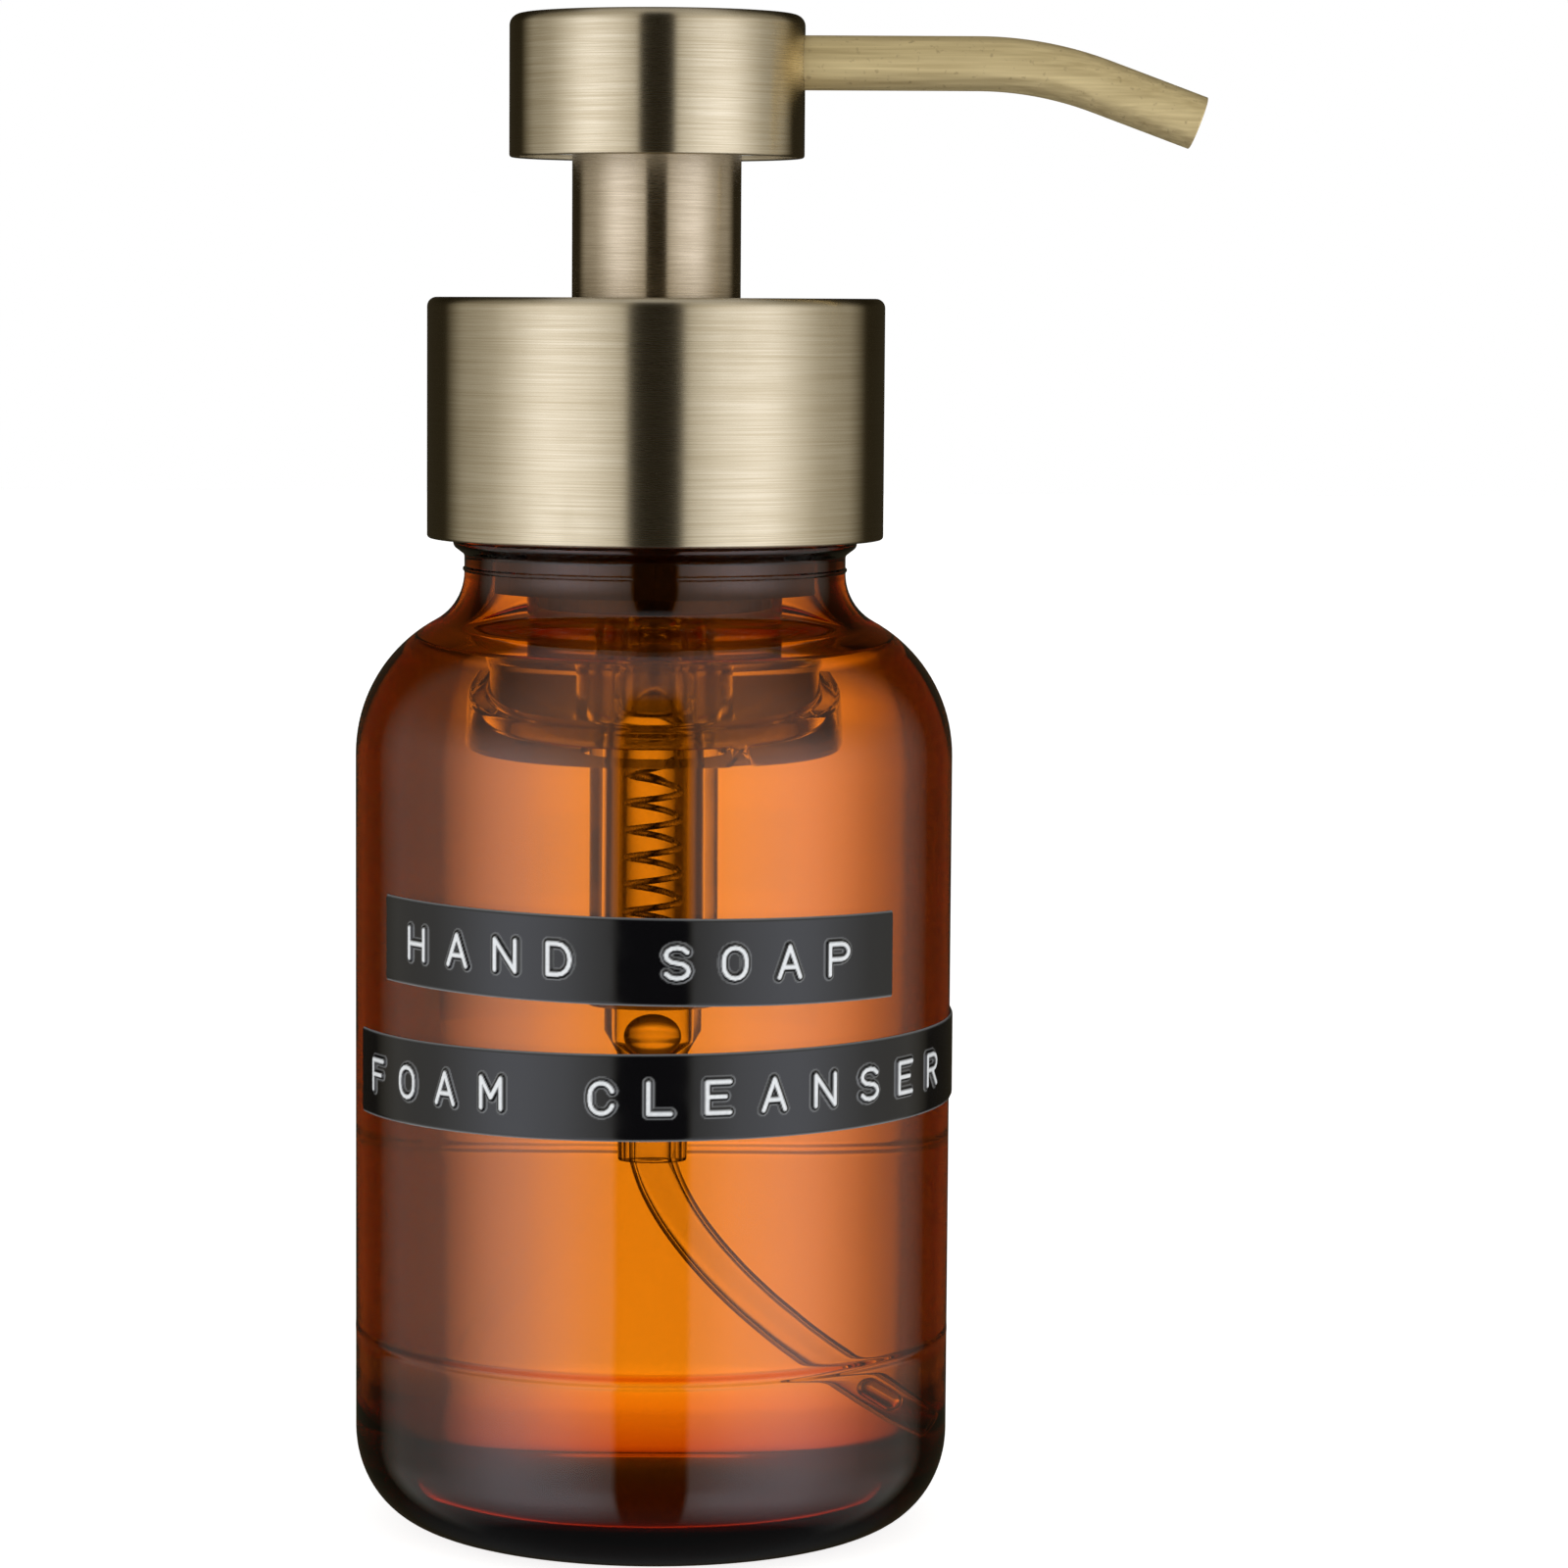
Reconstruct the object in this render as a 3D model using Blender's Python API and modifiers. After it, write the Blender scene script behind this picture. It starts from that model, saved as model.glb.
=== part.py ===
"""Foaming soap dispenser: a glass bottle, a screw closure and a brass pump head with its foam pump inside.

The origin is the middle of the bottle's base, +Z is up, and the spout points along +X at rest.
Sizes below are in millimetres, and every shape is scaled to metres as it is made.
"""

import math

import bmesh
import bpy

MM = 0.001
GAP = 0.3

# Bottle
BODY_R = 32.0
WALL = 3.0
HEEL_WIDTH = 8.5
HEEL_HEIGHT = 10.0
FLOOR_Z = 5.0
FLOOR_DOME = 2.0
SHOULDER_Z = 83.0
SHOULDER_R = 16.2
NECK_FILLET = 6.0
NECK_R = 20.4
BEAD_R = 21.6
BEAD_Z = 105.6
FINISH_Z = 122.0

# Screw thread of the 43 mm neck finish
PITCH = 4.23
THREAD_START_Z = 109.6
NECK_THREAD_R = 1.1
CAP_THREAD_R = 1.0

# Closure
CLOSURE_BOTTOM = 106.1
CLOSURE_TOP = 131.7
SHELL_R = 24.4
SHELL_WALL = 0.6
CAP_R = 23.5
CAP_BORE = 21.9
CAP_PLATE_Z = 125.6
CAP_PLATE = 1.6
CAP_MOUTH_R = 15.5
PLUG_BOTTOM = 100.0

# Pump cylinder and inlet valve
AIR_R = 13.7
AIR_WALL = 1.0
RIM_R = 15.3
RIM_HEIGHT = 3.0
CYLINDER_BOTTOM = 82.7
NOTCH_DEG = 32.0
NOTCH_R = 1.4
LIQUID_R = 5.2
LIQUID_BORE = 3.7
LIQUID_TOP = 97.0
VALVE_Z = 57.7
BALL_R = 2.35
INLET_BALL_Z = 53.5
SOCKET_END_Z = 40.1

# Dip tube, whose lower half bends towards +X and ends near the heel
DIP_R = 1.9
DIP_WALL = 0.5
DIP_BEND = ((0.0, 40.3), (1.6, 32.5), (8.8, 21.3), (24.5, 10.0))

# Plunger
SLEEVE_R = 9.0
SLEEVE_WALL = 0.7
SLEEVE_BOTTOM = 119.4
SLEEVE_TOP = 152.4
ROD_R = 3.1
ROD_BORE = 1.9
CUP_R = 7.9
OUTLET_BALL_R = 2.0
OUTLET_BALL_Z = 120.4
PISTON_BOTTOM = 84.6
BELL_R = 10.2
BELL_WALL = 1.0
BELL_BOTTOM = 97.2
BELL_TOP = 116.0
WIPER_Z = 107.0

# Head and spout
HEAD_R = 15.7
HEAD_BOTTOM = 146.5
HEAD_TOP = 161.6
HEAD_WALL = 0.6
HEAD_FILLET = 1.2
SPOUT_R = 2.9
SPOUT_WALL = 0.6
SPOUT_Z = 156.6
SPOUT_START_X = 6.5
SPOUT_BEND_X = 34.0
SPOUT_BEND_R = 38.0
SPOUT_BEND_DEG = 20.3
SPOUT_TIP_X = 57.5

# Label tape. Azimuths, here and for the notch in the pump rim, count from the front (-Y) towards +X
TAPE_WIDTH = 9.0
TAPE_GAP = 0.15
TAPE_THICKNESS = 0.35

BRASS = ((0.60, 0.46, 0.28), 0.32, 1.0)
AMBER = ((0.50, 0.16, 0.02), 0.05, 0.0)
CLEAR = ((0.82, 0.82, 0.80), 0.25, 0.0)
WHITE = ((0.85, 0.85, 0.83), 0.40, 0.0)
BLACK = ((0.02, 0.02, 0.02), 0.20, 0.0)
STEEL = ((0.62, 0.62, 0.64), 0.25, 1.0)
GLASS = ((0.86, 0.88, 0.86), 0.05, 0.0)
RUBBER = ((0.04, 0.04, 0.04), 0.60, 0.0)


def clear_scene():
    for old in list(bpy.data.objects):
        bpy.data.objects.remove(old, do_unlink=True)


def new_collection(name, hidden=False):
    made = bpy.data.collections.new(name)
    made.hide_render = hidden
    bpy.context.scene.collection.children.link(made)
    return made


def finish_material(name, look):
    colour, roughness, metallic = look
    made = bpy.data.materials.new(name)
    made.use_nodes = True
    shader = made.node_tree.nodes["Principled BSDF"]
    shader.inputs["Base Color"].default_value = (*colour, 1.0)
    shader.inputs["Roughness"].default_value = roughness
    shader.inputs["Metallic"].default_value = metallic
    return made


def add_part(name, data, look):
    made = bpy.data.objects.new(name, data)
    data.materials.append(finish_material(name, look))
    PARTS.objects.link(made)
    return made


def as_cutter(obj):
    """Moves a helper shape out of the parts, so that it only cuts or joins them."""
    PARTS.objects.unlink(obj)
    CUTTERS.objects.link(obj)
    obj.hide_render = True
    obj.display_type = "WIRE"
    return obj


def arc(centre, radius, start_deg, end_deg, steps, stretch=1.0):
    """Points of a circular arc in the (radius, height) plane, with its height scaled by stretch."""
    points = []
    for i in range(steps + 1):
        angle = math.radians(start_deg + (end_deg - start_deg) * i / steps)
        points.append((centre[0] + radius * math.cos(angle),
                       centre[1] + radius * stretch * math.sin(angle)))
    return points


def turned(name, profile, look, steps=24, ring=True):
    """Spins a (radius, height) profile about Z. It runs down the outer side first; a ring closes on itself."""
    mesh = bpy.data.meshes.new(name)
    edges = [(i, i + 1) for i in range(len(profile) - 1)]
    if ring:
        edges.append((len(profile) - 1, 0))
    mesh.from_pydata([(r * MM, 0.0, z * MM) for r, z in profile], edges, [])
    obj = add_part(name, mesh, look)
    spin = obj.modifiers.new("spin", "SCREW")
    spin.steps = spin.render_steps = steps
    spin.use_merge_vertices = True
    spin.merge_threshold = 0.00001
    spin.use_smooth_shade = True
    return obj


def tube_ring(name, outer, inner, bottom, top, look, steps=24):
    """A plain sleeve, washer or disc with a hole."""
    return turned(name, [(outer, top), (outer, bottom), (inner, bottom), (inner, top)], look, steps)


def ball(name, radius, height, look):
    mesh = bpy.data.meshes.new(name)
    shape = bmesh.new()
    bmesh.ops.create_uvsphere(shape, u_segments=12, v_segments=8, radius=radius * MM)
    shape.to_mesh(mesh)
    shape.free()
    mesh.shade_smooth()
    obj = add_part(name, mesh, look)
    obj.location.z = height * MM
    return obj


def path_curve(name, points, radius, look, sides=2, capped=True):
    """A round wire or tube skin that follows a list of points."""
    curve = bpy.data.curves.new(name, "CURVE")
    curve.dimensions = "3D"
    curve.bevel_depth = radius * MM
    curve.bevel_resolution = sides
    curve.use_fill_caps = capped
    line = curve.splines.new("POLY")
    line.points.add(len(points) - 1)
    for spot, (x, y, z) in zip(line.points, points):
        spot.co = (x * MM, y * MM, z * MM, 1.0)
    return add_part(name, curve, look)


def hollow_tube(name, points, radius, wall, look, sides=2):
    """A pipe: its skin follows the points, and Solidify gives it a wall on the inside."""
    obj = path_curve(name, points, radius, look, sides, capped=False)
    shell = obj.modifiers.new("wall", "SOLIDIFY")
    shell.thickness = wall * MM
    shell.offset = -1.0
    return obj


def as_mesh(obj):
    """Turns a curve object into a mesh object with welded caps, so that it can be joined to a solid."""
    graph = bpy.context.evaluated_depsgraph_get()
    mesh = bpy.data.meshes.new_from_object(obj.evaluated_get(graph))
    shape = bmesh.new()
    shape.from_mesh(mesh)
    bmesh.ops.remove_doubles(shape, verts=shape.verts, dist=0.000001)
    shape.to_mesh(mesh)
    shape.free()
    name, matrix = obj.name, obj.matrix_world.copy()
    bpy.data.objects.remove(obj)
    made = bpy.data.objects.new(name, mesh)
    made.matrix_world = matrix
    PARTS.objects.link(made)
    return made


def combine(obj, helper, operation):
    change = obj.modifiers.new(helper.name, "BOOLEAN")
    change.operation = operation
    change.object = helper
    change.solver = "EXACT"


def helix(radius, start_z, pitch, turns, per_turn):
    points = []
    for i in range(int(turns * per_turn) + 1):
        angle = 2 * math.pi * i / per_turn
        points.append((radius * math.cos(angle), radius * math.sin(angle), start_z + pitch * i / per_turn))
    return points


def add_thread(obj, name, radius, start_z, ridge_r):
    """Joins one turn of right-hand thread ridge to a turned wall."""
    ridge = path_curve(name, helix(radius, start_z, PITCH, 1.0, 30), ridge_r, WHITE, sides=1)
    combine(obj, as_cutter(as_mesh(ridge)), "UNION")


def bottle():
    convex = (BODY_R - SHOULDER_R, SHOULDER_Z)
    rise = math.acos((NECK_R + NECK_FILLET - convex[0]) / (SHOULDER_R + NECK_FILLET))
    lean = math.degrees(rise)
    concave = (NECK_R + NECK_FILLET, SHOULDER_Z + (SHOULDER_R + NECK_FILLET) * math.sin(rise))
    heel = (BODY_R - HEEL_WIDTH, HEEL_HEIGHT)
    inner_heel = (BODY_R - WALL - HEEL_WIDTH + 0.5, FLOOR_Z + HEEL_HEIGHT - 1.0)
    inner_heel_r = BODY_R - WALL - inner_heel[0]
    bore = NECK_R - WALL
    profile = [(bore, FINISH_Z), (NECK_R - 0.5, FINISH_Z), (NECK_R, FINISH_Z - 0.5)]
    profile += [(NECK_R, BEAD_Z + 1.0)]
    profile += arc((BEAD_R - 0.7, BEAD_Z), 0.7, 60, -60, 2)
    profile += [(NECK_R, BEAD_Z - 1.4)]
    profile += arc(concave, NECK_FILLET, 180, 180 + lean, 4)
    profile += arc(convex, SHOULDER_R, lean, 0, 6)[1:]
    profile += arc(heel, HEEL_WIDTH, 0, -90, 6, HEEL_HEIGHT / HEEL_WIDTH)
    profile += [(0.0, 0.0), (0.0, FLOOR_Z + FLOOR_DOME), (10.0, FLOOR_Z + 0.75 * FLOOR_DOME)]
    stretch = (inner_heel[1] - FLOOR_Z) / inner_heel_r
    profile += arc(inner_heel, inner_heel_r, -90, 0, 4, stretch)
    profile += arc(convex, SHOULDER_R - WALL, 0, lean, 4)
    profile += arc(concave, NECK_FILLET + WALL, 180 + lean, 180, 3)[1:]
    obj = turned("bottle", profile, AMBER, 40)
    add_thread(obj, "neck_thread", NECK_R + 0.05, THREAD_START_Z, NECK_THREAD_R)


def label_tape(name, middle_z, start_deg, end_deg, rise):
    """A strip that wraps the bottle. Its far end stands rise higher than its start."""
    low, high = middle_z - TAPE_WIDTH / 2, middle_z + TAPE_WIDTH / 2
    radius = BODY_R + TAPE_GAP
    mesh = bpy.data.meshes.new(name)
    base = -rise / 2
    mesh.from_pydata([(radius * MM, 0.0, (z + base) * MM) for z in (high, low)], [(0, 1)], [])
    obj = add_part(name, mesh, BLACK)
    wrap = obj.modifiers.new("wrap", "SCREW")
    wrap.angle = math.radians(end_deg - start_deg)
    wrap.screw_offset = rise * MM
    wrap.steps = wrap.render_steps = round((end_deg - start_deg) / 5)
    shell = obj.modifiers.new("thickness", "SOLIDIFY")
    shell.thickness = TAPE_THICKNESS * MM
    shell.offset = 1.0
    obj.rotation_euler.z = math.radians(start_deg - 90)


def closure():
    edge = 1.0
    inside = SHELL_R - SHELL_WALL
    plate = CLOSURE_TOP - 0.8
    hole = SLEEVE_R + 0.6
    profile = [(hole, CLOSURE_TOP)] + arc((SHELL_R - edge, CLOSURE_TOP - edge), edge, 90, 0, 4)
    profile += [(SHELL_R, CLOSURE_BOTTOM + 0.4), (SHELL_R - 0.3, CLOSURE_BOTTOM), (inside, CLOSURE_BOTTOM)]
    profile += [(inside, plate - 0.8), (inside - 0.8, plate), (hole, plate)]
    turned("closure_shell", profile, BRASS, 40)
    top = CAP_PLATE_Z + CAP_PLATE
    bottom = CLOSURE_BOTTOM + 0.4
    profile = [(CAP_MOUTH_R, top), (CAP_R, top), (CAP_R, bottom), (CAP_BORE, bottom)]
    profile += [(CAP_BORE, CAP_PLATE_Z), (CAP_MOUTH_R, CAP_PLATE_Z)]
    cap = turned("closure_cap", profile, BLACK, 32)
    add_thread(cap, "cap_thread", CAP_BORE - 0.1, THREAD_START_Z + PITCH / 2, CAP_THREAD_R)


def pump_cylinder():
    flange_top = CAP_PLATE_Z - GAP
    flange = flange_top - 1.5
    air_bore = AIR_R - AIR_WALL
    step = CYLINDER_BOTTOM + 1.2
    foot = VALVE_Z + GAP
    profile = [(NECK_R - 0.5, flange_top), (NECK_R - 0.5, flange), (AIR_R, flange)]
    profile += [(AIR_R, CYLINDER_BOTTOM + RIM_HEIGHT), (RIM_R, CYLINDER_BOTTOM + RIM_HEIGHT)]
    profile += [(RIM_R, CYLINDER_BOTTOM), (LIQUID_R, CYLINDER_BOTTOM)]
    profile += [(LIQUID_R, foot + 1.4), (LIQUID_R + 0.6, foot + 1.4), (LIQUID_R + 0.6, foot)]
    profile += [(LIQUID_BORE, foot), (LIQUID_BORE, LIQUID_TOP), (LIQUID_R, LIQUID_TOP)]
    profile += [(LIQUID_R, step), (air_bore, step), (air_bore, flange_top)]
    obj = turned("pump_cylinder", profile, CLEAR, 28)
    away = math.radians(NOTCH_DEG - 90)
    notch = path_curve("rim_notch", [
        (r * math.cos(away), r * math.sin(away), CYLINDER_BOTTOM)
        for r in (AIR_R + 0.3, RIM_R + 1.0)], NOTCH_R, CLEAR, sides=0)
    combine(obj, as_cutter(as_mesh(notch)), "DIFFERENCE")


def neck_seal():
    washer_r, plug_r = NECK_R - 0.2, NECK_R - WALL - GAP
    washer_bottom, washer_top = FINISH_Z + GAP, FINISH_Z + 1.5
    profile = [(washer_r, washer_top), (washer_r, washer_bottom), (plug_r, washer_bottom)]
    profile += [(plug_r, PLUG_BOTTOM), (AIR_R + GAP, PLUG_BOTTOM), (AIR_R + GAP, washer_top)]
    turned("neck_gasket", profile, RUBBER, 32)
    bore = SLEEVE_R + GAP
    flange_bottom = CAP_PLATE_Z
    top = CLOSURE_TOP - 0.8 - GAP
    profile = [(bore + 1.0, top), (bore + 1.0, flange_bottom + 1.0), (CAP_MOUTH_R - GAP, flange_bottom + 1.0)]
    profile += [(CAP_MOUTH_R - GAP, flange_bottom), (bore + 1.0, flange_bottom)]
    profile += [(bore + 1.0, SLEEVE_BOTTOM), (bore, SLEEVE_BOTTOM), (bore, top)]
    turned("guide_collar", profile, WHITE)


def seat_height(ball_z, ball_r):
    """Height where a 45 degree seat cone, kept clear of its ball, would meet the axis."""
    return ball_z - (ball_r + 0.2) * math.sqrt(2)


def inlet_valve():
    apex = seat_height(INLET_BALL_Z, BALL_R)
    port, chamber, body = 1.3, 2.95, 3.95
    socket = DIP_R + 0.9
    flange = VALVE_Z - 1.0
    profile = [(LIQUID_R + 0.6, VALVE_Z), (LIQUID_R, flange), (body, flange)]
    profile += [(body, INLET_BALL_Z + 0.6), (socket + 0.1, INLET_BALL_Z - 1.8), (socket, SOCKET_END_Z)]
    profile += [(DIP_R + GAP, SOCKET_END_Z), (DIP_R + GAP, apex - 0.3), (port, apex + 0.4)]
    profile += [(port, apex + port), (chamber, apex + chamber), (chamber, VALVE_Z)]
    turned("valve_housing", profile, CLEAR, 16)
    ball("inlet_ball", BALL_R, INLET_BALL_Z, GLASS)
    seat_bottom = VALVE_Z + GAP
    tube_ring("spring_seat", LIQUID_BORE - GAP, 1.3, seat_bottom, seat_bottom + 0.9, WHITE, 20)
    wire = 0.35
    low = seat_bottom + 0.9 + 0.2 + wire
    high = PISTON_BOTTOM - 0.2 - wire
    turns = 8.5
    coil = helix(2.85, low, (high - low) / turns, turns, 10)
    path_curve("return_spring", coil, wire, STEEL, sides=0)


def bezier(corners, steps):
    """Points of one cubic curve, in its own plane."""
    points = []
    for i in range(steps + 1):
        t = i / steps
        weights = ((1 - t) ** 3, 3 * t * (1 - t) ** 2, 3 * t * t * (1 - t), t ** 3)
        points.append(tuple(sum(w * c[k] for w, c in zip(weights, corners)) for k in (0, 1)))
    return points


def dip_tube():
    top = seat_height(INLET_BALL_Z, BALL_R) - 0.6
    path = [(0.0, top), (0.0, (top + SOCKET_END_Z) / 2)] + bezier(DIP_BEND, 14)
    hollow_tube("dip_tube", [(x, 0.0, z) for x, z in path], DIP_R, DIP_WALL, CLEAR)


def plunger():
    lip = LIQUID_BORE - GAP
    waist = lip - 0.5
    top = LIQUID_TOP - GAP
    profile = [(waist, top), (waist, PISTON_BOTTOM + 4.4), (lip, PISTON_BOTTOM + 3.4), (lip, PISTON_BOTTOM)]
    profile += [(ROD_BORE, PISTON_BOTTOM), (ROD_BORE, top)]
    turned("liquid_piston", profile, CLEAR, 20)

    apex = seat_height(OUTLET_BALL_Z, OUTLET_BALL_R)
    port, throat, cup_bore = 1.3, 2.9, 6.9
    cup_floor, cup_top = 119.0, 127.0
    profile = [(CUP_R, cup_top), (CUP_R, cup_floor), (ROD_R, cup_floor - 1.5), (ROD_R, LIQUID_TOP)]
    profile += [(ROD_BORE, LIQUID_TOP), (ROD_BORE, apex), (port, apex + 0.6), (port, apex + port)]
    profile += [(throat, apex + throat), (cup_bore, cup_floor + 3.0), (cup_bore, cup_top)]
    turned("piston_rod", profile, CLEAR)
    ball("outlet_ball", OUTLET_BALL_R, OUTLET_BALL_Z, GLASS)

    wiper = AIR_R - AIR_WALL - GAP
    lip, web = wiper - 0.8, 1.0
    hub, hub_wall = ROD_R + GAP, 1.0
    inside = BELL_R - BELL_WALL
    profile = [(wiper, WIPER_Z + 2.6), (wiper, WIPER_Z - 4.0), (lip, WIPER_Z - 4.0), (lip, WIPER_Z - web)]
    profile += [(BELL_R, WIPER_Z - web), (BELL_R, BELL_BOTTOM), (inside, BELL_BOTTOM)]
    profile += [(inside, BELL_TOP - web), (hub + hub_wall, BELL_TOP - web), (hub + hub_wall, BELL_TOP - 3.4)]
    profile += [(hub, BELL_TOP - 3.4), (hub, BELL_TOP + 1.0), (hub + hub_wall, BELL_TOP + 1.0)]
    profile += [(hub + hub_wall, BELL_TOP), (BELL_R, BELL_TOP), (BELL_R, WIPER_Z), (lip, WIPER_Z)]
    profile += [(lip, WIPER_Z + 2.6)]
    turned("air_piston", profile, BLACK)
    tube_ring("air_valve", BELL_R - 1.4, hub + hub_wall + GAP, BELL_TOP + GAP, BELL_TOP + 0.7, RUBBER)


def foam_chamber():
    cup_top = 127.0
    plug = 6.9 - GAP
    bore = plug - 0.9
    shelf = 1.0
    low, top = 124.2, 151.6
    mesh_low, mesh_high = cup_top + 1.0, 147.6
    profile = [(CUP_R, top), (CUP_R, cup_top + GAP), (plug, cup_top + GAP), (plug, low), (bore - shelf, low)]
    profile += [(bore - shelf, mesh_low), (bore, mesh_low), (bore, mesh_high), (plug, mesh_high), (plug, top)]
    turned("foam_chamber", profile, WHITE)
    disc = 0.5
    tube_ring("mesh_lower", bore - GAP, 0.6, mesh_low + GAP, mesh_low + GAP + disc, CLEAR, 24)
    tube_ring("mesh_upper", plug - GAP, 0.6, mesh_high + GAP, mesh_high + GAP + disc, CLEAR, 24)


def spout_path(start_x, end_trim):
    """Centre line of the spout: straight out, one gentle bend, then straight to the tip."""
    bend = math.radians(SPOUT_BEND_DEG)
    points = [(start_x, 0.0, SPOUT_Z)]
    for i in range(9):
        angle = bend * i / 8
        points.append((SPOUT_BEND_X + SPOUT_BEND_R * math.sin(angle), 0.0,
                       SPOUT_Z - SPOUT_BEND_R * (1 - math.cos(angle))))
    last_x, _, last_z = points[-1]
    run = SPOUT_TIP_X - end_trim - last_x
    points.append((last_x + run, 0.0, last_z - run * math.tan(bend)))
    return points


def spout_bore(name, radius, start_x, end_x):
    bore = path_curve(name, [(start_x, 0.0, SPOUT_Z), (end_x, 0.0, SPOUT_Z)], radius, WHITE, sides=4)
    return as_cutter(as_mesh(bore))


def head():
    inside = HEAD_R - HEAD_WALL
    ceiling = HEAD_TOP - HEAD_WALL
    profile = [(0.0, HEAD_TOP)] + arc((HEAD_R - HEAD_FILLET, HEAD_TOP - HEAD_FILLET), HEAD_FILLET, 90, 0, 4)
    profile += [(HEAD_R, HEAD_BOTTOM + 0.3), (HEAD_R - 0.3, HEAD_BOTTOM), (inside, HEAD_BOTTOM + 0.3)]
    profile += [(inside, ceiling - 0.6), (inside - 0.6, ceiling), (0.0, ceiling)]
    shell = turned("head_shell", profile, BRASS, 40, ring=False)
    combine(shell, spout_bore("shell_bore", SPOUT_R + GAP, HEAD_R - 5.0, HEAD_R + 3.0), "DIFFERENCE")

    core_r = inside - GAP
    top = ceiling - GAP
    profile = [(0.0, top), (core_r - 0.8, top), (core_r, top - 0.8), (core_r, HEAD_BOTTOM + 0.6)]
    profile += [(SLEEVE_R + GAP, HEAD_BOTTOM + 0.6), (SLEEVE_R + GAP, SLEEVE_TOP + GAP)]
    profile += [(6.0, SLEEVE_TOP + GAP), (6.0, SPOUT_Z + 2.2), (0.0, SPOUT_Z + 2.2)]
    core = turned("head_core", profile, WHITE, 28, ring=False)
    combine(core, spout_bore("core_bore", SPOUT_R + GAP, 3.0, HEAD_R + 3.0), "DIFFERENCE")

    tube_ring("stem_sleeve", SLEEVE_R, SLEEVE_R - SLEEVE_WALL, SLEEVE_BOTTOM, SLEEVE_TOP, BRASS, 32)
    hollow_tube("nozzle_tube", spout_path(SPOUT_START_X, 0.0), SPOUT_R, SPOUT_WALL, BRASS, sides=4)
    liner_r = SPOUT_R - SPOUT_WALL - GAP
    hollow_tube("nozzle_liner", spout_path(SPOUT_START_X + 0.4, 0.8), liner_r, 0.6, WHITE)


def group_by_motion():
    """Parents the pieces that move together to an empty on the pump's axis."""
    groups = {
        "closure": ("closure_shell", "closure_cap"),
        "pump_body": ("pump_cylinder", "neck_gasket", "guide_collar", "valve_housing",
                      "inlet_ball", "spring_seat", "return_spring", "dip_tube"),
        "plunger": ("liquid_piston", "piston_rod", "outlet_ball", "air_piston", "air_valve"),
        "head": ("head_shell", "head_core", "stem_sleeve", "nozzle_tube", "nozzle_liner",
                 "foam_chamber", "mesh_lower", "mesh_upper"),
    }
    for group, names in groups.items():
        axis = bpy.data.objects.new(group + "_axis", None)
        axis.empty_display_size = 0.02
        PARTS.objects.link(axis)
        for name in names:
            bpy.data.objects[name].parent = axis


clear_scene()
PARTS = new_collection("soap_pump_dispenser")
CUTTERS = new_collection("cutters", hidden=True)

bottle()
label_tape("label_upper", 64.5, -59.7, 50.3, -0.96)
label_tape("label_lower", 50.6, -72.0, 95.0, 0.98)
closure()
pump_cylinder()
neck_seal()
inlet_valve()
dip_tube()
plunger()
foam_chamber()
head()
group_by_motion()
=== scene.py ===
"""How the foaming soap dispenser looks: amber glass, clear soap, brushed brass, embossed tape, clear pump.

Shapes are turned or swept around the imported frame. Sizes are in millimetres unless a name says otherwise.
"""

import math

import bmesh
import bpy
import numpy as np
from mathutils import Matrix, Vector


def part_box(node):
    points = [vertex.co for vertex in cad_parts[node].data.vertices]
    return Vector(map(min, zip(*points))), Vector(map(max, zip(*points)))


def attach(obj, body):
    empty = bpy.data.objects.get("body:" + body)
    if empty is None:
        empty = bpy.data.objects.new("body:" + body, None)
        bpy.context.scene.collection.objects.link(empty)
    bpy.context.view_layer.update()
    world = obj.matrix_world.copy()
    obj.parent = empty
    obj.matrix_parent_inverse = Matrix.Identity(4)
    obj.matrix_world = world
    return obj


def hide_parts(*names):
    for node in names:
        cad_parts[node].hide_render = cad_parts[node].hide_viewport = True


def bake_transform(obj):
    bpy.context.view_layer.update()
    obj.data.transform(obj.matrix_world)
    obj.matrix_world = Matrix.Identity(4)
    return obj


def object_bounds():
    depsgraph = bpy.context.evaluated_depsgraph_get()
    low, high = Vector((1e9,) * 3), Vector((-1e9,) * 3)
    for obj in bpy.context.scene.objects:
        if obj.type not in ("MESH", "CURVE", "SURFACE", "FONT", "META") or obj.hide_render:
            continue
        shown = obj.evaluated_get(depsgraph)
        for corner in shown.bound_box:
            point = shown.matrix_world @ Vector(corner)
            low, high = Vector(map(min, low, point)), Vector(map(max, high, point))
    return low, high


MM = 0.001
FRONT_DEG = -90.0  # the front of the bottle faces -Y

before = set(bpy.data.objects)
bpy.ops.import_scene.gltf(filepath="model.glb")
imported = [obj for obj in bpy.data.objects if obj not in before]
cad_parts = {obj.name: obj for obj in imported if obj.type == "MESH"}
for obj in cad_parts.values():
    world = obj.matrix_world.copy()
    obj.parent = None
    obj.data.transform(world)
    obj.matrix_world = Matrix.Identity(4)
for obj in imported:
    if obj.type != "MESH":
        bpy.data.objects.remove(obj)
cad_low, cad_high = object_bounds()


def size_of(node):
    """Lowest height, highest height and outer radius of a turned CAD node, in millimetres."""
    low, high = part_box(node)
    return low.z / MM, high.z / MM, high.y / MM


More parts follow.
